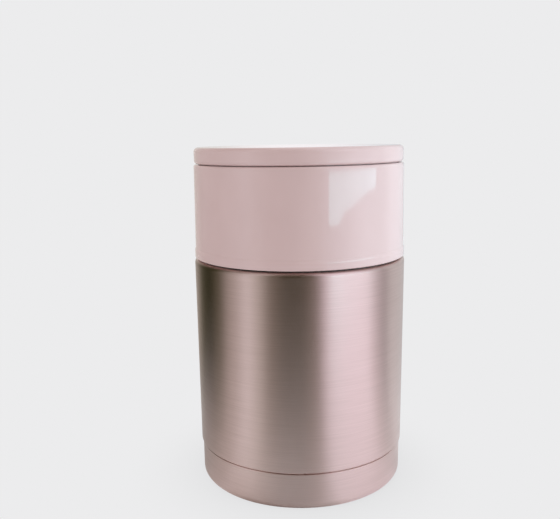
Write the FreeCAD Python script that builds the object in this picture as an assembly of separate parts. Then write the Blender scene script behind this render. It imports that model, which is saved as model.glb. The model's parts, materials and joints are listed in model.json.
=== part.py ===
import FreeCAD, Part
import math
import os

from FreeCAD import Vector

# Insulated food jar: a double-walled steel vessel, a screw stopper with a vent valve,
# and a bowl cap whose top opens on a rear hinge over a folding spoon.
# Millimetres, +Z up, origin on the floor at the middle of the base, front towards -Y.

os.makedirs("parts", exist_ok=True)

# Driving dimensions
BODY_R = 52.5
JAR_HEIGHT = 168.0
GROOVE_Z = 18.9
SHOULDER_Z = 114.1
CAP_BOTTOM_Z = 115.0
BAND_TOP_Z = 119.8
CAP_TOP_Z = 159.9
DISC_BOTTOM_Z = 160.2
RIM_Z = 131.0

# Steel vessel
STEEL = 0.6
BODY_EDGE_R = 2.0
NECK_R = 44.7
MOUTH_R = 42.0
LINER_R = 47.6
LINER_FLOOR_Z = 14.6
LINER_WAIST_Z = 109.0
LINER_NECK_Z = 113.5
FOIL = 0.3
FOIL_LOW_Z = 24.0
FOIL_TOP_Z = 102.0
SPIGOT_R = 51.1
SPIGOT_BOTTOM_Z = 4.6
BASE_PLATE_Z = 8.0
SEAL_HOLE_R = 1.6
SEAL_R = 3.2
SEAL_HEIGHT = 1.4
GETTER_X = 22.0
GETTER_R = 5.0
GETTER_HEIGHT = 3.0
GETTER_STRAP = 0.4
GETTER_STRAP_WIDTH = 4.0
BASE_CUP_R = 51.85
BASE_CORNER_R = 3.5
BASE_RING_R = 44.5
BASE_RECESS = 1.5
GROOVE_GAP = 0.5

# Threads: four right-hand starts, the same lead on the stopper and on the cap,
# so one helical motion fits both
STARTS = 4
LEAD = 20.0
WRAP_DEG = 84.0
HALF_PITCH = LEAD / STARTS / 2
RIDGE_FOOT = 0.3
STOPPER_RIDGE = (1.4, 0.95)
CAP_RIDGE = (1.45, 0.9)
COLLAR_R = 46.9
COLLAR_FOOT_R = 50.2
COLLAR_CREST_R = 48.35
CAP_BORE_R = 48.85
CAP_CREST_R = 47.35
CAP_THREAD_Z = 121.5
LINER_CREST_R = 40.9
PLUG_R = 40.4
PLUG_CREST_R = 41.6
LINER_THREAD_Z = 121.0

# Stopper
PLUG_BOTTOM_Z = 100.5
PLUG_WALL = 1.6
PLUG_FLOOR = 1.8
PLUG_STEP_R = 41.5
PLUG_STEP_Z = 128.6
GASKET_INNER_R = 41.9
GASKET_OUTER_R = 44.9
FLANGE_Z = 133.0
FLANGE_TOP_Z = 136.0
FLANGE_R = 45.2
TOP_PLATE_Z = 137.8
HUB_R = 12.0
HUB_TOP_Z = 141.0
HUB_FLOOR_Z = 130.5
HUB_WALL = 1.2
TOP_SPIGOT_Z = 134.5
FIN_LENGTH = 24.0
FIN_WIDTH = 6.0
FIN_END_R = 2.4

# Vent valve
BUTTON_R = 9.0
BUTTON_TOP_Z = 141.6
BUTTON_WALL = 1.2
BUTTON_CROWN = 3.2
BUTTON_SKIRT_Z = 135.2
SOCKET_R = 3.4
SOCKET_Z = 135.6
STEM_TOP_Z = 139.6
STEM_HEAD_Z = 97.6
STEM_HEAD = 1.1
VENT_SEAL_R = 6.2
STEM_R = 1.9
STEM_GUIDE_R = 2.0
VENT_HOLE_R = 3.2
VENT_TUBE_R = 6.6
SPRING_R = 5.6
SPRING_WIRE_R = 0.35
SPRING_TURNS = 4

# Bowl cap
CAP_FOOT_R = 51.95
CAP_TOP_R = 51.4
CAP_WALL = 1.6
CAP_MOUTH_R = 46.9
LIP_R = 48.3
LIP_HEIGHT = 1.0
BAND_R = 52.3
BAND_SLOPE = 1.2
BAND_FLANGE = 1.2
BOWL_WALL = 1.2
BOWL_R = 47.0
BOWL_CORNER_R = 3.5
BOWL_FLOOR_Z = 146.0
SHELF_Z = 133.0
SNAP_BEAD_R = 48.2
SNAP_BEAD_Z = 130.5
CAP_GASKET_INNER_R = 45.6
CAP_GASKET_OUTER_R = 48.5
TRAY_R = 44.8
TRAY_BODY_R = 46.0
TRAY_RIM_R = 46.6
TRAY_FLANGE_R = 48.4
TRAY_FLOOR_Z = 148.4
TRAY_RIM_DROP = 0.3

# Cover disc and its rear hinge
DISC_R = 51.15
DISC_WALL = 2.0
DISC_RIM = 2.25
DISC_TOP_EDGE_R = 2.2
DISC_LOW_EDGE_R = 1.5
COVER_PLATE_R = 48.5
COVER_PLATE_RISE = 1.1
COVER_PLATE = 1.4
COVER_RING_R = 44.4
COVER_RING_DEPTH = 2.2
HINGE_Y = 50.4
HINGE_Z = (CAP_TOP_Z + DISC_BOTTOM_Z) / 2
KNUCKLE_R = 2.1
RELIEF_R = 2.5
PIN_R = 1.0
PIN_CLEARANCE = 0.06
COVER_LUG_HALF = 6.2
CAP_LUG_NEAR = 6.6
CAP_LUG_FAR = 12.4
LUG_INNER_Y = 48.6
LUG_FOOT_Z = 152.5

# Folding spoon
SPOON_BOWL_LENGTH = 48.0
SPOON_BOWL_WIDTH = 36.0
SPOON_BOWL_DEPTH = 7.0
SPOON_BOWL_X = -15.0
SPOON_SHEET = 1.0
SPOON_RIM_Z = TRAY_FLOOR_Z + 0.05 + SPOON_BOWL_DEPTH
SPOON_PIVOT_X = 35.0
SPOON_PIVOT_R = 1.6
RIVET_HEAD_R = 2.8
RIVET_HEAD = 0.8
SHANK_WIDTH = 10.0
HANDLE_WIDTH = 14.0
HANDLE_THICK = 1.4
HANDLE_Z = SPOON_RIM_Z + 0.4
HANDLE_END_X = -39.0

UP = Vector(0, 0, 1)
ORIGIN = Vector(0, 0, 0)


# Outlines and turned solids
def towards(start, end):
    """Unit vector from one point to another."""
    step = end - start
    return step.multiply(1 / step.Length)


def outline(corners):
    """Closed wire in the XZ plane through (radius, height) corners; a third number rounds that corner."""
    points = [Vector(c[0], 0, c[1]) for c in corners]
    count = len(points)
    pieces = []
    for i, corner in enumerate(corners):
        rounding = corner[2] if len(corner) > 2 else 0
        point = points[i]
        if not rounding:
            pieces.append((point, None, point))
            continue
        back = towards(point, points[i - 1])
        ahead = towards(point, points[(i + 1) % count])
        half = back.getAngle(ahead) / 2
        inward = (back + ahead).normalize()
        reach = rounding / math.tan(half)
        depth = rounding / math.sin(half) - rounding
        pieces.append((point + back * reach, point + inward * depth, point + ahead * reach))
    edges = []
    for i, (start, middle, end) in enumerate(pieces):
        if middle:
            edges.append(Part.Arc(start, middle, end).toShape())
        following = pieces[(i + 1) % count][0]
        if (following - end).Length > 1e-6:
            edges.append(Part.LineSegment(end, following).toShape())
    return Part.Wire(edges)


def turned(corners):
    """Solid turned about the jar's axis from an outline of (radius, height) corners."""
    solid = Part.Face(outline(corners)).revolve(ORIGIN, UP, 360)
    if solid.Volume < 0:
        solid.reverse()
    return solid


def tube(inner, outer, low, high):
    """Plain ring or, with no inner radius, a plain disc."""
    return turned([(inner, low), (outer, low), (outer, high), (inner, high)])


def helical_ridges(root_r, crest_r, first_z, half_widths):
    """The ridges of one multi-start thread: short helices that rise counter-clockwise, seen from above."""
    half_root, half_crest = half_widths
    foot_r = root_r - math.copysign(RIDGE_FOOT, crest_r - root_r)
    section = [
        (foot_r, -half_root),
        (root_r, -half_root),
        (crest_r, -half_crest),
        (crest_r, half_crest),
        (root_r, half_root),
        (foot_r, half_root),
    ]
    profile = outline(section)
    path = Part.makeHelix(LEAD, LEAD * WRAP_DEG / 360, root_r)
    ridge = Part.Wire(path.Edges).makePipeShell([profile], True, True)
    ridges = []
    for start in range(STARTS):
        turn = ridge.copy()
        turn.rotate(ORIGIN, UP, start * 360 / STARTS)
        turn.translate(Vector(0, 0, first_z))
        ridges.append(turn)
    return ridges


def joined(shape, others):
    """One solid from a shape and what grows out of it."""
    result = shape.fuse(others)
    if len(result.Solids) != 1 or not result.isValid():
        raise ValueError(f"fuse gave {len(result.Solids)} solids")
    return result.Solids[0]


def across(radius, left, right):
    """Cylinder about the cover's hinge axis between two x positions."""
    return Part.makeCylinder(radius, right - left, Vector(left, HINGE_Y, HINGE_Z), Vector(1, 0, 0))


def export(name, shape):
    """Writes one node, after a check of its solids."""
    if not shape.isValid() or shape.Volume <= 0:
        raise ValueError(f"{name} is not a valid solid")
    shape.exportStep(f"parts/{name}.step")
    print(f"{name:20s} {len(shape.Solids)} solid(s) {shape.Volume / 1000:8.2f} cm3")


# Steel vessel
def outer_shell():
    """Drawn outer wall, from the spigot inside the base cup to the neck."""
    inner_r = BODY_R - STEEL
    under = SHOULDER_Z - STEEL
    return turned([
        (SPIGOT_R, SPIGOT_BOTTOM_Z),
        (SPIGOT_R, GROOVE_Z, 0.3),
        (BODY_R, GROOVE_Z, 0.7),
        (BODY_R, SHOULDER_Z, BODY_EDGE_R),
        (NECK_R, SHOULDER_Z),
        (NECK_R, RIM_Z - STEEL),
        (NECK_R - STEEL, RIM_Z - STEEL),
        (NECK_R - STEEL, under),
        (inner_r, under, BODY_EDGE_R - STEEL),
        (inner_r, GROOVE_Z + STEEL),
        (SPIGOT_R - STEEL, GROOVE_Z + STEEL, 0.5),
        (SPIGOT_R - STEEL, SPIGOT_BOTTOM_Z),
    ])


def inner_liner():
    """Food container: wide body, narrower neck with thread ridges, and a lip over the outer neck."""
    outer_r = LINER_R + STEEL
    neck_r = MOUTH_R + STEEL
    bottom = LINER_FLOOR_Z - STEEL
    shell = turned([
        (0, bottom),
        (outer_r, bottom, 8.6),
        (outer_r, LINER_WAIST_Z, 4.6),
        (neck_r, LINER_NECK_Z, 2.4),
        (neck_r, RIM_Z - STEEL),
        (NECK_R, RIM_Z - STEEL),
        (NECK_R, RIM_Z, 0.4),
        (MOUTH_R, RIM_Z, 0.3),
        (MOUTH_R, LINER_NECK_Z - 0.2, 3.0),
        (LINER_R, LINER_WAIST_Z - 0.2, 4.0),
        (LINER_R, LINER_FLOOR_Z, 8.0),
        (0, LINER_FLOOR_Z),
    ])
    ridges = helical_ridges(MOUTH_R, LINER_CREST_R, LINER_THREAD_Z, STOPPER_RIDGE)
    return joined(shell, ridges)


def reflective_foil():
    """Metal foil wrapped on the liner, inside the vacuum."""
    inner_r = LINER_R + STEEL
    return tube(inner_r, inner_r + FOIL, FOIL_LOW_Z, FOIL_TOP_Z)


def base_plate():
    """Flanged plate that closes the vacuum, with the evacuation hole in its middle."""
    flange_r = SPIGOT_R - STEEL
    return turned([
        (SEAL_HOLE_R, BASE_PLATE_Z),
        (flange_r - STEEL, BASE_PLATE_Z, 0.3),
        (flange_r - STEEL, SPIGOT_BOTTOM_Z),
        (flange_r, SPIGOT_BOTTOM_Z),
        (flange_r, BASE_PLATE_Z + STEEL, 0.8),
        (SEAL_HOLE_R, BASE_PLATE_Z + STEEL),
    ])


def evacuation_seal():
    """Bead that seals the evacuation hole from below."""
    low = BASE_PLATE_Z - SEAL_HEIGHT
    high = BASE_PLATE_Z + STEEL
    return turned([
        (0, low),
        (SEAL_R, low, 1.0),
        (SEAL_R, BASE_PLATE_Z),
        (SEAL_HOLE_R, BASE_PLATE_Z),
        (SEAL_HOLE_R, high),
        (0, high),
    ])


def getter():
    """Pill that keeps the vacuum clean."""
    return Part.makeCylinder(GETTER_R, GETTER_HEIGHT, Vector(GETTER_X, 0, BASE_PLATE_Z + STEEL))


def strap_box(half_length, height):
    """Block of the strap's width over the pill, on the base plate."""
    corner = Vector(GETTER_X - half_length, -GETTER_STRAP_WIDTH / 2, BASE_PLATE_Z + STEEL)
    return Part.makeBox(2 * half_length, GETTER_STRAP_WIDTH, height, corner)


def getter_clip():
    """Strap over the pill, with a foot at each end."""
    half = GETTER_R + 0.4
    foot = 3.0
    arch = strap_box(half + GETTER_STRAP, GETTER_HEIGHT + GETTER_STRAP)
    feet = strap_box(half + foot, GETTER_STRAP)
    return joined(arch, [feet]).cut(strap_box(half, GETTER_HEIGHT)).Solids[0]


def base_cup():
    """Steel cup pressed over the spigot; it stands on a flat ring round a shallow recess."""
    inner_r = SPIGOT_R + 0.05
    wall = BASE_CUP_R - inner_r
    high = GROOVE_Z - GROOVE_GAP
    return turned([
        (BASE_CUP_R, high, 0.3),
        (BASE_CUP_R, 0, BASE_CORNER_R),
        (BASE_RING_R, 0, 0.8),
        (BASE_RING_R - 1.2, BASE_RECESS, 0.6),
        (0, BASE_RECESS),
        (0, BASE_RECESS + wall),
        (BASE_RING_R - 0.9, BASE_RECESS + wall, 0.8),
        (BASE_RING_R + 0.3, wall, 0.6),
        (inner_r, wall, BASE_CORNER_R - wall),
        (inner_r, high),
    ])


def neck_collar():
    """Plastic ring on the steel neck, with the cap's male thread and a foot on the shoulder."""
    foot_top = CAP_BOTTOM_Z - 0.3
    top = RIM_Z - 0.1
    ring = turned([
        (NECK_R, SHOULDER_Z),
        (COLLAR_FOOT_R, SHOULDER_Z),
        (COLLAR_FOOT_R, foot_top, 0.2),
        (COLLAR_R, foot_top, 0.5),
        (COLLAR_R, top, 0.5),
        (NECK_R, top),
    ])
    ridges = helical_ridges(COLLAR_R, COLLAR_CREST_R, CAP_THREAD_Z, CAP_RIDGE)
    return joined(ring, ridges)


# Stopper
def stopper_body():
    """Hollow plug with the male thread, the vent tube and the flange that presses the gasket."""
    inner_r = PLUG_R - PLUG_WALL
    floor_top = PLUG_BOTTOM_Z + PLUG_FLOOR
    tube_outer = VENT_TUBE_R + 1.2
    shell = turned([
        (VENT_HOLE_R, PLUG_BOTTOM_Z),
        (PLUG_R, PLUG_BOTTOM_Z, 2.0),
        (PLUG_R, PLUG_STEP_Z),
        (PLUG_STEP_R, PLUG_STEP_Z + 0.8),
        (PLUG_STEP_R, FLANGE_Z),
        (FLANGE_R, FLANGE_Z, 0.4),
        (FLANGE_R, FLANGE_TOP_Z, 0.4),
        (inner_r, FLANGE_TOP_Z),
        (inner_r, floor_top, 1.2),
        (tube_outer, floor_top, 0.5),
        (tube_outer, HUB_FLOOR_Z),
        (VENT_TUBE_R, HUB_FLOOR_Z),
        (VENT_TUBE_R, floor_top),
        (VENT_HOLE_R, floor_top),
    ])
    ridges = helical_ridges(PLUG_R, PLUG_CREST_R, LINER_THREAD_Z - HALF_PITCH, STOPPER_RIDGE)
    return joined(shell, ridges)


def stopper_gasket():
    """Silicone ring between the stopper's flange and the jar's rim."""
    return turned([
        (GASKET_INNER_R, RIM_Z, 0.4),
        (GASKET_OUTER_R, RIM_Z, 0.3),
        (GASKET_OUTER_R, FLANGE_Z, 0.3),
        (GASKET_INNER_R, FLANGE_Z, 0.3),
    ])


def stopper_insulation():
    """Foam block that fills the plug round the vent tube."""
    bore_r = VENT_TUBE_R + 1.6
    hub_clear_r = BUTTON_R + 2.0
    outer_r = PLUG_R - PLUG_WALL - 0.1
    low = PLUG_BOTTOM_Z + PLUG_FLOOR + 0.2
    high = TOP_SPIGOT_Z - 0.6
    return turned([
        (bore_r, low),
        (outer_r, low, 1.4),
        (outer_r, high),
        (hub_clear_r, high),
        (hub_clear_r, HUB_FLOOR_Z - 0.5),
        (bore_r, HUB_FLOOR_Z - 0.5),
    ])


def stopper_top():
    """Cover of the stopper: a plate with two finger fins and a hub that holds the button."""
    pocket_r = BUTTON_R + 0.4
    cup_r = pocket_r + HUB_WALL
    plate_r = FLANGE_R - 0.6
    spigot_r = PLUG_R - PLUG_WALL - 0.05
    plate = turned([
        (STEM_GUIDE_R, HUB_FLOOR_Z),
        (cup_r, HUB_FLOOR_Z, 0.5),
        (cup_r, TOP_SPIGOT_Z),
        (spigot_r, TOP_SPIGOT_Z, 0.3),
        (spigot_r, FLANGE_TOP_Z),
        (plate_r, FLANGE_TOP_Z),
        (plate_r, TOP_PLATE_Z, 0.8),
        (HUB_R, TOP_PLATE_Z, 0.8),
        (HUB_R, HUB_TOP_Z, 0.7),
        (pocket_r, HUB_TOP_Z, 0.3),
        (pocket_r, HUB_FLOOR_Z + HUB_WALL),
        (STEM_GUIDE_R, HUB_FLOOR_Z + HUB_WALL),
    ])
    sunk = 0.5
    overlap = 1.0
    fins = []
    for side in (0, 180):
        fin = Part.makeBox(
            FIN_LENGTH + overlap, FIN_WIDTH, HUB_TOP_Z - TOP_PLATE_Z + sunk,
            Vector(HUB_R - overlap, -FIN_WIDTH / 2, TOP_PLATE_Z - sunk),
        )
        end_edges = [
            e for e in fin.Edges
            if e.Length < FIN_WIDTH and abs(e.CenterOfMass.x - HUB_R - FIN_LENGTH) < 0.01
        ]
        fin = fin.makeFillet(FIN_END_R, end_edges)
        fin.rotate(ORIGIN, UP, side)
        fins.append(fin)
    return joined(plate, fins)


def vent_button():
    """Button with a skirt in the hub and a socket for the stem."""
    underside = BUTTON_TOP_Z - BUTTON_CROWN
    return turned([
        (0, BUTTON_TOP_Z),
        (BUTTON_R, BUTTON_TOP_Z, 1.0),
        (BUTTON_R, BUTTON_SKIRT_Z),
        (BUTTON_R - BUTTON_WALL, BUTTON_SKIRT_Z),
        (BUTTON_R - BUTTON_WALL, underside),
        (SOCKET_R, underside),
        (SOCKET_R, SOCKET_Z),
        (STEM_R, SOCKET_Z),
        (STEM_R, STEM_TOP_Z),
        (0, STEM_TOP_Z),
    ])


def vent_stem():
    """Rod from the button down through the plug, with a head that carries the seal."""
    head_top = STEM_HEAD_Z + STEM_HEAD
    return turned([
        (0, STEM_HEAD_Z),
        (SOCKET_R, STEM_HEAD_Z, 0.4),
        (SOCKET_R, head_top),
        (STEM_R, head_top),
        (STEM_R, STEM_TOP_Z, 0.3),
        (0, STEM_TOP_Z),
    ])


def vent_seal():
    """Silicone disc that the spring pulls up against the plug's floor."""
    low = STEM_HEAD_Z + STEM_HEAD
    return turned([
        (STEM_R, low),
        (VENT_SEAL_R, low, 0.5),
        (VENT_SEAL_R, PLUG_BOTTOM_Z, 0.2),
        (STEM_R, PLUG_BOTTOM_Z),
    ])


def vent_spring():
    """Compression spring between the hub's floor and the button, one wire with a helix."""
    end_gap = SPRING_WIRE_R + 0.05
    low = HUB_FLOOR_Z + HUB_WALL + end_gap
    high = BUTTON_TOP_Z - BUTTON_CROWN - end_gap
    pitch = (high - low) / SPRING_TURNS
    path = Part.makeHelix(pitch, high - low, SPRING_R)
    ring = Part.Wire(Part.makeCircle(SPRING_WIRE_R, Vector(SPRING_R, 0, 0), Vector(0, 1, 0)).Edges)
    spring = Part.Wire(path.Edges).makePipeShell([ring], True, True)
    spring.translate(Vector(0, 0, low))
    print(f"spring: gap between turns {pitch - 2 * SPRING_WIRE_R:.2f} mm")
    return spring


# Bowl cap
def cap_gasket():
    """Silicone ring under the bowl's shelf, which rests on the collar's top."""
    low = RIM_Z - 0.1
    return turned([
        (CAP_GASKET_INNER_R, low, 0.3),
        (CAP_GASKET_OUTER_R, low, 0.3),
        (CAP_GASKET_OUTER_R, SHELF_Z, 0.3),
        (CAP_GASKET_INNER_R, SHELF_Z, 0.3),
    ])


def bowl_liner():
    """The bowl itself, upside down: its rim has the female thread, its floor is at the top."""
    outer_r = CAP_BORE_R + BOWL_WALL
    upper_r = BOWL_R + BOWL_WALL
    low = CAP_BOTTOM_Z + BAND_FLANGE
    shell = turned([
        (CAP_BORE_R, low),
        (outer_r, low),
        (outer_r, SHELF_Z + BOWL_WALL, 0.6),
        (upper_r, SHELF_Z + BOWL_WALL, 0.6),
        (upper_r, BOWL_FLOOR_Z + BOWL_WALL, BOWL_CORNER_R + BOWL_WALL),
        (0, BOWL_FLOOR_Z + BOWL_WALL),
        (0, BOWL_FLOOR_Z),
        (BOWL_R, BOWL_FLOOR_Z, BOWL_CORNER_R),
        (BOWL_R, SHELF_Z, 0.4),
        (CAP_BORE_R, SHELF_Z),
        (CAP_BORE_R, SNAP_BEAD_Z + 0.25),
        (SNAP_BEAD_R, SNAP_BEAD_Z),
        (CAP_BORE_R, SNAP_BEAD_Z - 0.5),
    ])
    ridges = helical_ridges(CAP_BORE_R, CAP_CREST_R, CAP_THREAD_Z - HALF_PITCH, CAP_RIDGE)
    return joined(shell, ridges)


def cap_band():
    """Ring that closes the cap's double wall; a soft slope leads from its proud face to the shell."""
    shell_r = CAP_FOOT_R - CAP_WALL
    flange_top = CAP_BOTTOM_Z + BAND_FLANGE
    return turned([
        (CAP_BORE_R, CAP_BOTTOM_Z, 0.3),
        (BAND_R, CAP_BOTTOM_Z, 0.4),
        (BAND_R, BAND_TOP_Z - BAND_SLOPE, 3.0),
        (CAP_FOOT_R, BAND_TOP_Z),
        (shell_r, BAND_TOP_Z),
        (shell_r, flange_top),
        (CAP_BORE_R, flange_top),
    ])


def lug(left, right):
    """Hinge knuckle of the cap with the buttress that carries it down the rear wall."""
    corners = [
        (LUG_INNER_Y, LUG_FOOT_Z),
        (CAP_TOP_R, LUG_FOOT_Z),
        (HINGE_Y + KNUCKLE_R, HINGE_Z),
        (LUG_INNER_Y, HINGE_Z),
    ]
    points = [Vector(left, y, z) for y, z in corners]
    buttress = Part.Face(Part.makePolygon(points + points[:1])).extrude(Vector(right - left, 0, 0))
    return buttress.fuse(across(KNUCKLE_R, left, right))


def cap_shell():
    """Glossy outer wall of the cap: a rim with a lip inside the cover's edge, and the hinge knuckles."""
    shell = turned([
        (CAP_FOOT_R - CAP_WALL, BAND_TOP_Z),
        (CAP_FOOT_R, BAND_TOP_Z),
        (CAP_TOP_R, CAP_TOP_Z, 1.0),
        (LIP_R, CAP_TOP_Z),
        (LIP_R, CAP_TOP_Z + LIP_HEIGHT, 0.3),
        (CAP_MOUTH_R, CAP_TOP_Z + LIP_HEIGHT, 0.3),
        (CAP_MOUTH_R, CAP_TOP_Z - CAP_WALL),
        (CAP_TOP_R - CAP_WALL, CAP_TOP_Z - CAP_WALL, 0.6),
    ])
    relief = across(RELIEF_R, -CAP_LUG_NEAR, CAP_LUG_NEAR)
    lugs = [lug(CAP_LUG_NEAR, CAP_LUG_FAR), lug(-CAP_LUG_FAR, -CAP_LUG_NEAR)]
    bore = across(PIN_R, -CAP_LUG_FAR - 1, CAP_LUG_FAR + 1)
    return joined(shell.cut(relief), lugs).cut(bore).Solids[0]


def spoon_tray():
    """Dish above the bowl's floor that holds the spoon."""
    flange_top = CAP_TOP_Z - CAP_WALL
    flange_low = flange_top - 1.4
    rim = CAP_TOP_Z - TRAY_RIM_DROP
    return turned([
        (0, BOWL_FLOOR_Z + BOWL_WALL),
        (TRAY_BODY_R, BOWL_FLOOR_Z + BOWL_WALL, 3.0),
        (TRAY_BODY_R, flange_low),
        (TRAY_FLANGE_R, flange_low),
        (TRAY_FLANGE_R, flange_top),
        (TRAY_RIM_R, flange_top),
        (TRAY_RIM_R, rim, 0.3),
        (TRAY_R, rim, 0.5),
        (TRAY_R, TRAY_FLOOR_Z, 2.0),
        (0, TRAY_FLOOR_Z),
    ])


# Folding spoon, stored in the tray with its handle swung back over the bowl
def half_ellipsoid(length, width, depth):
    """Lower half of an ellipsoid, its rim in the XY plane."""
    ball = Part.makeSphere(1.0, ORIGIN, UP, -90, 0, 360)
    stretch = FreeCAD.Matrix()
    stretch.scale(length / 2, width / 2, depth)
    return ball.transformGeometry(stretch)


def strap(left, right, width, low, thick, end_r):
    """Flat bar along X with rounded corners."""
    bar = Part.makeBox(right - left, width, thick, Vector(left, -width / 2, low))
    upright = [e for e in bar.Edges if abs(e.Length - thick) < 1e-6]
    return bar.makeFillet(end_r, upright)


def rivet_hole(low, thick):
    """Drill through a sheet at the spoon's pivot."""
    return Part.makeCylinder(SPOON_PIVOT_R, thick + 2.0, Vector(SPOON_PIVOT_X, 0, low - 1.0))


def spoon_bowl():
    """Steel spoon bowl with its short shank, up to the pivot."""
    outside = half_ellipsoid(SPOON_BOWL_LENGTH, SPOON_BOWL_WIDTH, SPOON_BOWL_DEPTH)
    inside = half_ellipsoid(
        SPOON_BOWL_LENGTH - 2 * SPOON_SHEET, SPOON_BOWL_WIDTH - 2 * SPOON_SHEET,
        SPOON_BOWL_DEPTH - SPOON_SHEET,
    )
    place = Vector(SPOON_BOWL_X, 0, SPOON_RIM_Z)
    for shape in (outside, inside):
        shape.translate(place)
    bowl_end = SPOON_BOWL_X + SPOON_BOWL_LENGTH / 2
    rooted = 4.0
    shank = strap(
        bowl_end - rooted, SPOON_PIVOT_X + SHANK_WIDTH / 2, SHANK_WIDTH,
        SPOON_RIM_Z - SPOON_SHEET, SPOON_SHEET, 4.5,
    )
    pivot = rivet_hole(SPOON_RIM_Z - SPOON_SHEET, SPOON_SHEET)
    return joined(outside, [shank]).cut(inside).cut(pivot).Solids[0]


def spoon_handle():
    """Flat steel handle, folded back over the bowl."""
    bar = strap(HANDLE_END_X, SPOON_PIVOT_X + HANDLE_WIDTH / 2, HANDLE_WIDTH, HANDLE_Z, HANDLE_THICK, 6.4)
    return bar.cut(rivet_hole(HANDLE_Z, HANDLE_THICK)).Solids[0]


def spoon_pivot():
    """Rivet with a washer between the shank and the handle."""
    low = SPOON_RIM_Z - SPOON_SHEET
    high = HANDLE_Z + HANDLE_THICK
    rivet = turned([
        (0, low - RIVET_HEAD),
        (RIVET_HEAD_R, low - RIVET_HEAD, 0.5),
        (RIVET_HEAD_R, low),
        (SPOON_PIVOT_R, low),
        (SPOON_PIVOT_R, SPOON_RIM_Z),
        (RIVET_HEAD_R, SPOON_RIM_Z),
        (RIVET_HEAD_R, HANDLE_Z),
        (SPOON_PIVOT_R, HANDLE_Z),
        (SPOON_PIVOT_R, high),
        (RIVET_HEAD_R, high),
        (RIVET_HEAD_R, high + RIVET_HEAD, 0.5),
        (0, high + RIVET_HEAD),
    ])
    rivet.translate(Vector(SPOON_PIVOT_X, 0, 0))
    return rivet


# Cover
def cover_disc():
    """Round top of the cap: a shallow shell with the middle hinge knuckle at its rear."""
    cavity_r = DISC_R - DISC_RIM
    shell = turned([
        (0, JAR_HEIGHT),
        (DISC_R, JAR_HEIGHT, DISC_TOP_EDGE_R),
        (DISC_R, DISC_BOTTOM_Z, DISC_LOW_EDGE_R),
        (cavity_r, DISC_BOTTOM_Z, 0.2),
        (cavity_r, JAR_HEIGHT - DISC_WALL, 0.8),
        (0, JAR_HEIGHT - DISC_WALL),
    ])
    gap_near = COVER_LUG_HALF
    gap_far = CAP_LUG_FAR + 0.4
    reliefs = [across(RELIEF_R, gap_near, gap_far), across(RELIEF_R, -gap_far, -gap_near)]
    knuckle = across(KNUCKLE_R, -COVER_LUG_HALF, COVER_LUG_HALF)
    bore = across(PIN_R + PIN_CLEARANCE, -COVER_LUG_HALF - 1, COVER_LUG_HALF + 1)
    return joined(shell.cut(reliefs), [knuckle]).cut(bore).Solids[0]


def cover_liner():
    """Inner plate of the cover, with a ring that centres it in the tray."""
    low = DISC_BOTTOM_Z + COVER_PLATE_RISE
    high = low + COVER_PLATE
    wall_top = JAR_HEIGHT - DISC_WALL - 0.8
    wall_inner_r = COVER_PLATE_R - 1.2
    ring_inner_r = COVER_RING_R - COVER_PLATE
    return turned([
        (0, low),
        (ring_inner_r, low),
        (ring_inner_r, low - COVER_RING_DEPTH),
        (COVER_RING_R, low - COVER_RING_DEPTH, 0.5),
        (COVER_RING_R, low),
        (COVER_PLATE_R, low, 0.3),
        (COVER_PLATE_R, wall_top),
        (wall_inner_r, wall_top),
        (wall_inner_r, high),
        (0, high),
    ])


def hinge_pin():
    """Steel pin through the three knuckles."""
    return across(PIN_R, -CAP_LUG_FAR, CAP_LUG_FAR)


for make in (
    outer_shell, inner_liner, reflective_foil, base_plate, evacuation_seal, getter, getter_clip,
    base_cup, neck_collar, stopper_body, stopper_gasket, stopper_insulation, stopper_top,
    vent_button, vent_stem, vent_seal, vent_spring, cap_gasket, bowl_liner, cap_band, cap_shell,
    spoon_tray, spoon_bowl, spoon_handle, spoon_pivot, cover_disc, cover_liner, hinge_pin,
):
    export(make.__name__, make())
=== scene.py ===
import json
import math

import bpy
from mathutils import Matrix, Vector


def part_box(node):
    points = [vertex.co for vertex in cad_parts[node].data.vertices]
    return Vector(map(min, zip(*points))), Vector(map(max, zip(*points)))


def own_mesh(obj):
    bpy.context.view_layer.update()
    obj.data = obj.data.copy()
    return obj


# Insulated food jar: finishes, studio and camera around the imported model. Metres.

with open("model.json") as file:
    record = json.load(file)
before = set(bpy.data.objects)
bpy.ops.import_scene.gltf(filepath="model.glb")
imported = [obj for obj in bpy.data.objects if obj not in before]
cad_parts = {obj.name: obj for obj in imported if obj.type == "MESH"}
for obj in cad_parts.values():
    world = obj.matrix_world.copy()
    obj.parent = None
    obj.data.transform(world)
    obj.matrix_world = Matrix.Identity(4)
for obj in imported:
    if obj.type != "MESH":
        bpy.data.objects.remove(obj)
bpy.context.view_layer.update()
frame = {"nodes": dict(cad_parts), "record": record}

BODY_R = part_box("outer_shell")[1].x

# Camera, from the jar's outline and seams in the photograph
IMAGE_WIDTH = 560
IMAGE_HEIGHT = 519
FOCAL_PX = 717.8
AXIS_ROW_PX = 302.0
CAMERA_X = -0.1925 * BODY_R
CAMERA_DISTANCE = 6.859 * BODY_R
CAMERA_Z = 3.295 * BODY_R
CAMERA_PITCH = 0.2279
CAMERA_ROLL = -0.0152
SENSOR_MM = 36.0

# Studio: the floor and its contact shadow, and what mirror-like surfaces see of the room round it
FLOOR_SIZE = 12.0
BACKGROUND = (236, 236, 237)
CONTACT_REACH = 0.05
CONTACT_OPENNESS = 0.35
CONTACT_SHADE = 0.90
TABLE_NEAR = 0.05
TABLE_FAR = 0.30
TABLE_NEAR_SHARE = 0.30
WALL_RADIUS = 0.30
WALL_HEIGHT = 1.2
WALL_SEGMENTS = 96
WINDOW_RADIUS = 0.29
WORLD_LIGHT = 0.95


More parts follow.
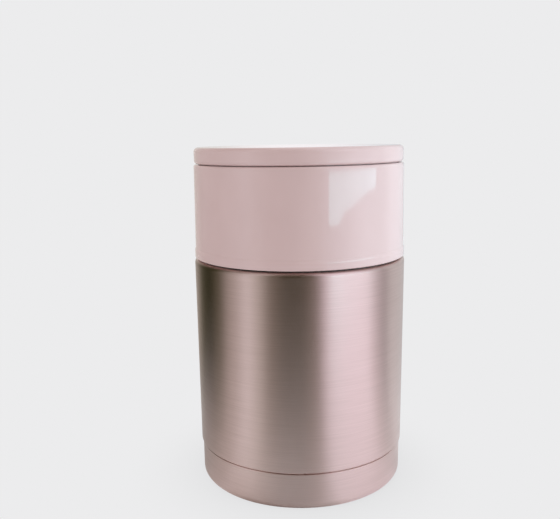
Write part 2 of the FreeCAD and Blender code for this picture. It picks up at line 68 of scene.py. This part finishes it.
# Node helpers
class Shader:
    """A material's or a world's node tree, with short ways to add and join nodes."""

    def __init__(self, owner):
        owner.use_nodes = True
        self.tree = owner.node_tree
        self.tree.nodes.clear()
        self.output = None

    def add(self, kind, **settings):
        node = self.tree.nodes.new(kind)
        for key, value in settings.items():
            setattr(node, key, value)
        return node

    def set(self, node, **values):
        """Sets a node's inputs; an output given as a value is linked."""
        for key, value in values.items():
            socket = node.inputs[int(key[1:])] if key[1:].isdigit() else node.inputs[key.replace("_", " ")]
            if isinstance(value, bpy.types.NodeSocket):
                self.tree.links.new(value, socket)
            else:
                socket.default_value = value
        return node

    def math(self, operation, a, b=0.0, clamp=False):
        node = self.add("ShaderNodeMath", operation=operation, use_clamp=clamp)
        return self.set(node, i0=a, i1=b).outputs[0]

    def place(self, scale=(1, 1, 1)):
        """Object coordinates, which are the jar's own frame in metres, stretched by a scale."""
        coords = self.add("ShaderNodeTexCoord").outputs["Object"]
        mapping = self.add("ShaderNodeMapping")
        return self.set(mapping, Vector=coords, Scale=scale).outputs[0]

    def noise(self, scale, detail=2.0, stretch=(1, 1, 1), roughness=0.5):
        node = self.add("ShaderNodeTexNoise")
        self.set(node, Vector=self.place(stretch), Scale=scale, Detail=detail, Roughness=roughness)
        return node.outputs["Fac"]

    def ramp(self, value, low, high, start=0.0, end=1.0):
        """A value from start to end, as the input goes from low to high."""
        node = self.add("ShaderNodeMapRange", interpolation_type="SMOOTHSTEP")
        self.set(node, i0=value, i1=low, i2=high, i3=start, i4=end)
        return node.outputs[0]

    def mix(self, factor, a, b):
        node = self.add("ShaderNodeMix", data_type="RGBA")
        self.set(node, i0=factor, i6=a, i7=b)
        return node.outputs[2]

    def bump(self, height, distance, strength=1.0, normal=None):
        node = self.add("ShaderNodeBump")
        self.set(node, Height=height, Distance=distance, Strength=strength)
        if normal:
            self.set(node, Normal=normal)
        return node.outputs[0]

    def finish(self, shader):
        """Joins a shader to the material's one output, in place of an earlier shader."""
        self.output = self.output or self.add("ShaderNodeOutputMaterial")
        self.set(self.output, Surface=shader)


def principled(name, **values):
    """A new material with one Principled shader; values go on its sockets."""
    material = bpy.data.materials.new(name)
    shader = Shader(material)
    surface = shader.add("ShaderNodeBsdfPrincipled")
    shader.finish(surface.outputs[0])
    shader.set(surface, **values)
    return material, shader, surface


def colour(red, green, blue):
    """A colour given as it looks on screen, in 0 to 255, as the linear value of a socket."""
    return tuple(
        (c / 255 / 12.92) if c <= 10.3 else ((c / 255 + 0.055) / 1.055) ** 2.4 for c in (red, green, blue)
    ) + (1.0,)


# Materials
def brushed_steel(name, tint, shade, fine=9000.0, roughness=0.37, anisotropy=0.85):
    """Steel with fine lines round the jar, which stretch its reflections up and down."""
    material, s, surface = principled(name, Metallic=1.0, Anisotropic=anisotropy, Anisotropic_Rotation=0.25)
    hair = s.noise(1.0, 2.0, (40.0, 40.0, fine))
    streak = s.noise(1.0, 3.0, (18.0, 18.0, fine / 5))
    cloud = s.noise(22.0, 3.0)
    lines = s.math("ADD", s.math("MULTIPLY", hair, 0.75), s.math("MULTIPLY", streak, 0.25))
    tangent = s.add("ShaderNodeTangent", direction_type="RADIAL", axis="Z")
    rough = s.math("ADD", s.ramp(lines, 0.3, 0.7, roughness - 0.03, roughness + 0.03),
                   s.ramp(cloud, 0.3, 0.7, -0.01, 0.01))
    s.set(
        surface,
        Base_Color=s.mix(s.ramp(lines, 0.32, 0.68), tint, shade),
        Roughness=rough,
        Tangent=tangent.outputs[0],
        Normal=s.bump(lines, 0.000006, 0.25),
    )
    return material


def gloss_plastic(name, base, deep, roughness=0.05):
    """Polished moulding: faint flow unevenness and soft smudges in the gloss."""
    material, s, surface = principled(name, IOR=1.52)
    flow = s.noise(60.0, 2.0, (1, 1, 0.5))
    smudge = s.noise(38.0, 4.0)
    peel = s.noise(900.0, 1.0)
    s.set(
        surface,
        Base_Color=s.mix(s.ramp(flow, 0.3, 0.7), base, deep),
        Roughness=s.ramp(smudge, 0.35, 0.75, roughness, roughness + 0.03),
        Normal=s.bump(peel, 0.000004, 0.2, s.bump(flow, 0.0001, 0.03)),
    )
    return material


def matte_plastic(name, base, deep, grain=2600.0, roughness=0.5):
    """Moulded plastic with a fine spark-eroded texture."""
    material, s, surface = principled(name, IOR=1.48)
    pits = s.noise(grain, 2.0)
    cloud = s.noise(45.0, 3.0)
    s.set(
        surface,
        Base_Color=s.mix(s.ramp(cloud, 0.3, 0.7), base, deep),
        Roughness=s.ramp(pits, 0.3, 0.7, roughness - 0.08, roughness + 0.08),
        Normal=s.bump(pits, 0.00004, 0.4),
    )
    return material


def silicone(name, base, deep):
    """Soft, slightly translucent rubber with dust-fine unevenness."""
    material, s, surface = principled(
        name, IOR=1.42, Subsurface_Weight=0.3, Subsurface_Scale=0.002, Subsurface_Radius=(1.0, 0.9, 0.8)
    )
    haze = s.noise(70.0, 3.0)
    s.set(
        surface,
        Base_Color=s.mix(s.ramp(haze, 0.3, 0.7), base, deep),
        Roughness=s.ramp(haze, 0.3, 0.7, 0.38, 0.5),
        Normal=s.bump(s.noise(1800.0, 1.0), 0.00003, 0.3),
    )
    return material


def foam(name, base, deep):
    """Expanded beads pressed together."""
    material, s, surface = principled(name, IOR=1.4, Roughness=0.8)
    beads = s.add("ShaderNodeTexVoronoi", feature="SMOOTH_F1")
    s.set(beads, Vector=s.place(), Scale=380.0, Smoothness=0.3)
    s.set(
        surface,
        Base_Color=s.mix(s.ramp(beads.outputs["Distance"], 0.1, 0.6), base, deep),
        Normal=s.bump(s.math("MULTIPLY", beads.outputs["Distance"], -1.0), 0.0004, 0.6),
    )
    return material


def plain_metal(name, base, deep, roughness=0.3, grain=260.0):
    """Pressed or polished metal with drawn marks and small stains."""
    material, s, surface = principled(name, Metallic=1.0)
    marks = s.noise(grain, 3.0)
    fine = s.noise(grain * 12, 2.0)
    s.set(
        surface,
        Base_Color=s.mix(s.ramp(marks, 0.3, 0.7), base, deep),
        Roughness=s.ramp(marks, 0.3, 0.7, roughness - 0.05, roughness + 0.08),
        Normal=s.bump(fine, 0.00002, 0.25),
    )
    return material


def make_materials():
    """One material for each of the record's material slots."""
    return {
        "champagne_steel": brushed_steel("champagne_steel", colour(238, 209, 202), colour(228, 199, 191)),
        "liner_steel": brushed_steel(
            "liner_steel", colour(208, 208, 206), colour(188, 188, 186), roughness=0.36
        ),
        "plain_steel": plain_metal("plain_steel", colour(190, 190, 188), colour(160, 160, 158), 0.34),
        "polished_steel": plain_metal("polished_steel", colour(216, 216, 214), colour(202, 202, 200), 0.14),
        "copper_foil": plain_metal("copper_foil", colour(222, 160, 124), colour(206, 138, 100), 0.2, 420.0),
        "pink_gloss": gloss_plastic("pink_gloss", colour(218, 188, 185), colour(215, 185, 182)),
        "bowl_plastic": gloss_plastic("bowl_plastic", colour(238, 230, 224), colour(232, 223, 217), 0.16),
        # Painted shade: the collar's dark brown-grey stands in for the shade in the gap between cap and
        # shoulder, where it shows.
        "collar_plastic": matte_plastic("collar_plastic", colour(74, 62, 58), colour(62, 52, 48)),
        "stopper_plastic": matte_plastic("stopper_plastic", colour(222, 216, 210), colour(212, 206, 200)),
        "button_plastic": gloss_plastic(
            "button_plastic", colour(222, 188, 190), colour(217, 182, 184), 0.14
        ),
        "silicone": silicone("silicone", colour(232, 229, 224), colour(220, 216, 210)),
        "foam": foam("foam", colour(243, 240, 230), colour(222, 218, 205)),
        "getter_metal": plain_metal("getter_metal", colour(120, 116, 112), colour(90, 87, 84), 0.6, 900.0),
        "seal_metal": plain_metal("seal_metal", colour(105, 104, 103), colour(80, 79, 78), 0.5, 700.0),
    }


def dress_nodes(materials):
    """Gives every node of the model its slot's material."""
    slot_of = {part["node"]: part["material_slot"] for part in frame["record"]["subparts"]}
    for name, node in frame["nodes"].items():
        node.data.materials.clear()
        node.data.materials.append(materials[slot_of[name]])


def press_spring():
    """Gives the vent's spring a mesh of its own."""
    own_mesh(frame["nodes"]["vent_spring"])


# Studio
# Brightness of the room round the jar: (bearing in degrees from the camera's side, positive to the
# right, then the light's red, green and blue)
ROOM = (
    (-180, (0.95, 0.93, 0.95)),
    (-158, (0.66, 0.66, 0.62)),
    (-138, (0.30, 0.30, 0.26)),
    (-122, (0.050, 0.055, 0.028)),
    (-106, (0.012, 0.014, 0.000)),
    (-92, (0.075, 0.075, 0.040)),
    (-72, (0.43, 0.42, 0.41)),
    (-53, (0.75, 0.78, 0.82)),
    (-43, (0.49, 0.50, 0.48)),
    (-30, (0.12, 0.105, 0.075)),
    (-16, (0.028, 0.022, 0.002)),
    (0, (0.026, 0.020, 0.000)),
    (13, (0.115, 0.095, 0.065)),
    (28, (0.84, 0.82, 0.94)),
    (45, (0.96, 0.93, 1.08)),
    (68, (1.0, 0.99, 1.14)),
    (80, (0.62, 0.60, 0.66)),
    (92, (0.37, 0.38, 0.41)),
    (108, (0.60, 0.66, 0.69)),
    (150, (0.60, 0.65, 0.67)),
    (180, (0.95, 0.93, 0.95)),
)

# Lower edge of a bright window to the front right: (bearing in degrees, height in metres)
WINDOW_SILL = (
    (27, 0.1115), (36.5, 0.1115), (42.5, 0.1213), (51, 0.125), (60, 0.1305), (68.5, 0.134), (80, 0.137),
)
WINDOW_TOP = 0.152
WINDOW_LIGHT = (2.0, 3.5, 3.8)


def ground_place(s):
    """How far a point lies across and behind the jar's axis."""
    split = s.add("ShaderNodeSeparateXYZ")
    s.set(split, i0=s.place())
    return split.outputs[0], split.outputs[1]


def room_light(s):
    """The room's tone at the bearing of a point."""
    across, depth = ground_place(s)
    bearing = s.math("ARCTAN2", across, s.math("MULTIPLY", depth, -1.0))
    turn = s.math("ADD", s.math("DIVIDE", bearing, 2 * math.pi), 0.5)
    ramp = s.add("ShaderNodeValToRGB")
    ramp.color_ramp.interpolation = "EASE"
    stops = ramp.color_ramp.elements
    while len(stops) < len(ROOM):
        stops.new(0.5)
    for stop, (degrees, light) in zip(stops, ROOM):
        stop.position = degrees / 360 + 0.5
        stop.color = (*light, 1.0)
    s.set(ramp, Fac=turn)
    return ramp.outputs[0]


def distance_from_jar(s):
    """The distance of a point from the jar's axis."""
    across, depth = ground_place(s)
    squares = s.math("ADD", s.math("MULTIPLY", across, across), s.math("MULTIPLY", depth, depth))
    return s.math("SQRT", squares)


def room_material():
    """Light of the walls, windows and dark corners round the jar, which the steel mirrors."""
    material = bpy.data.materials.new("room_light")
    s = Shader(material)
    emission = s.add("ShaderNodeEmission")
    s.set(emission, Color=room_light(s), Strength=1.0)
    s.finish(emission.outputs[0])
    return material


def floor_material():
    """Matte pale paper round the jar. The camera sees its tone even, with a faint contact shadow, and
    mirror-like surfaces see more of the room's tones in it the further it is from the jar."""
    material, s, surface = principled("floor_paper", Roughness=0.8, Specular_IOR_Level=0.2)
    s.set(surface, Base_Color=colour(*BACKGROUND))
    path = s.add("ShaderNodeLightPath")
    contact = s.add("ShaderNodeAmbientOcclusion")
    s.set(contact, Distance=CONTACT_REACH)
    own = s.add("ShaderNodeEmission")
    shade = s.ramp(contact.outputs["AO"], CONTACT_OPENNESS, 1.0, CONTACT_SHADE, 1.0)
    s.set(own, Color=colour(*BACKGROUND), Strength=shade)
    paper = s.add("ShaderNodeMixShader")
    s.set(paper, i0=path.outputs["Is Camera Ray"], i1=surface.outputs[0], i2=own.outputs[0])
    beyond = s.add("ShaderNodeEmission")
    s.set(beyond, Color=room_light(s), Strength=1.0)
    far = s.ramp(distance_from_jar(s), TABLE_NEAR, TABLE_FAR, TABLE_NEAR_SHARE, 1.0)
    whole = s.add("ShaderNodeMixShader")
    mirrored = s.math("MULTIPLY", path.outputs["Is Glossy Ray"], far)
    s.set(whole, i0=mirrored, i1=paper.outputs[0], i2=beyond.outputs[0])
    s.finish(whole.outputs[0])
    return material


def make_floor():
    """Pale table under the jar."""
    mesh = bpy.data.meshes.new("floor")
    half = FLOOR_SIZE / 2
    corners = [(-half, -half, 0), (half, -half, 0), (half, half, 0), (-half, half, 0)]
    mesh.from_pydata(corners, [], [(0, 1, 2, 3)])
    floor = bpy.data.objects.new("floor", mesh)
    bpy.context.scene.collection.objects.link(floor)
    floor.data.materials.append(floor_material())


def around(bearing, radius, height):
    """A point round the jar, by its bearing in degrees from the camera's side."""
    angle = math.radians(bearing)
    return (radius * math.sin(angle), -radius * math.cos(angle), height)


def stage_mesh(name, points, faces, material):
    """A stage object that only mirror-like surfaces see."""
    mesh = bpy.data.meshes.new(name)
    mesh.from_pydata(points, [], faces)
    thing = bpy.data.objects.new(name, mesh)
    bpy.context.scene.collection.objects.link(thing)
    thing.data.materials.append(material)
    thing.visible_camera = False
    thing.visible_diffuse = False
    thing.visible_shadow = False


def make_room():
    """Dark and light surroundings on a round wall."""
    segments = WALL_SEGMENTS
    points = []
    for height in (0, WALL_HEIGHT):
        points += [around(360 * i / segments, WALL_RADIUS, height) for i in range(segments)]
    faces = [(i, (i + 1) % segments, segments + (i + 1) % segments, segments + i) for i in range(segments)]
    stage_mesh("room", points, faces, room_material())


def make_window():
    """Bright window, whose slanting sill shows in the cap's gloss."""
    light = bpy.data.materials.new("window_light")
    s = Shader(light)
    emission = s.add("ShaderNodeEmission")
    s.set(emission, Color=(*WINDOW_LIGHT, 1.0), Strength=1.0)
    s.finish(emission.outputs[0])
    sill = [around(bearing, WINDOW_RADIUS, height) for bearing, height in WINDOW_SILL]
    head = [around(bearing, WINDOW_RADIUS, WINDOW_TOP) for bearing, height in WINDOW_SILL]
    count = len(sill)
    faces = [(i, i + 1, count + i + 1, count + i) for i in range(count - 1)]
    stage_mesh("window", sill + head, faces, light)


# Lamps: (name, place, target, size, watts, tone)
LAMPS = (
    ("right_lamp", (0.85, 0.0, 0.35), (0, 0, 0.1), (0.5, 0.6), 7.0, (0.62, 0.88, 1.0)),
    ("left_lamp", (-1.28, 1.53, 0.4), (0, 0, 0.1), (0.9, 0.9), 31.0, (0.84, 1.0, 1.0)),
)


def make_lamp(name, place, target, size, watts, tone):
    """Soft rectangular lamp that points at a target and lights only matt surfaces."""
    light = bpy.data.lights.new(name, "AREA")
    light.shape = "RECTANGLE"
    light.size, light.size_y = size
    light.energy = watts
    light.color = tone
    lamp = bpy.data.objects.new(name, light)
    lamp.location = place
    lamp.rotation_euler = (Vector(target) - Vector(place)).to_track_quat("-Z", "Y").to_euler()
    bpy.context.scene.collection.objects.link(lamp)
    lamp.visible_camera = False
    lamp.visible_glossy = False


def make_world():
    """Even pale surroundings; the camera and the mirror-like surfaces see the same tone."""
    world = bpy.data.worlds.new("surroundings")
    bpy.context.scene.world = world
    s = Shader(world)
    background = s.add("ShaderNodeBackground")
    path = s.add("ShaderNodeLightPath")
    seen = s.math("MAXIMUM", path.outputs["Is Camera Ray"], path.outputs["Is Glossy Ray"])
    seen = s.math("MAXIMUM", seen, path.outputs["Is Transmission Ray"])
    s.set(background, Color=colour(*BACKGROUND), Strength=s.ramp(seen, 0.0, 1.0, WORLD_LIGHT, 1.0))
    output = s.add("ShaderNodeOutputWorld")
    s.set(output, Surface=background.outputs[0])


# Camera
def make_camera():
    """Camera at the photograph's place, in line with the jar's seams and outline."""
    data = bpy.data.cameras.new("camera")
    data.sensor_fit = "HORIZONTAL"
    data.sensor_width = SENSOR_MM
    data.lens = FOCAL_PX / IMAGE_WIDTH * SENSOR_MM
    data.shift_y = (AXIS_ROW_PX - IMAGE_HEIGHT / 2) / IMAGE_WIDTH
    data.clip_start = 0.01
    camera = bpy.data.objects.new("camera", data)
    look = Matrix.Rotation(math.pi / 2 - CAMERA_PITCH, 4, "X") @ Matrix.Rotation(CAMERA_ROLL, 4, "Z")
    camera.matrix_world = Matrix.Translation((CAMERA_X, -CAMERA_DISTANCE, CAMERA_Z)) @ look
    bpy.context.scene.collection.objects.link(camera)
    bpy.context.scene.camera = camera


dress_nodes(make_materials())
press_spring()
make_floor()
make_room()
make_window()
make_world()
make_camera()
for lamp in LAMPS:
    make_lamp(*lamp)

bpy.context.scene.view_settings.view_transform = "Standard"
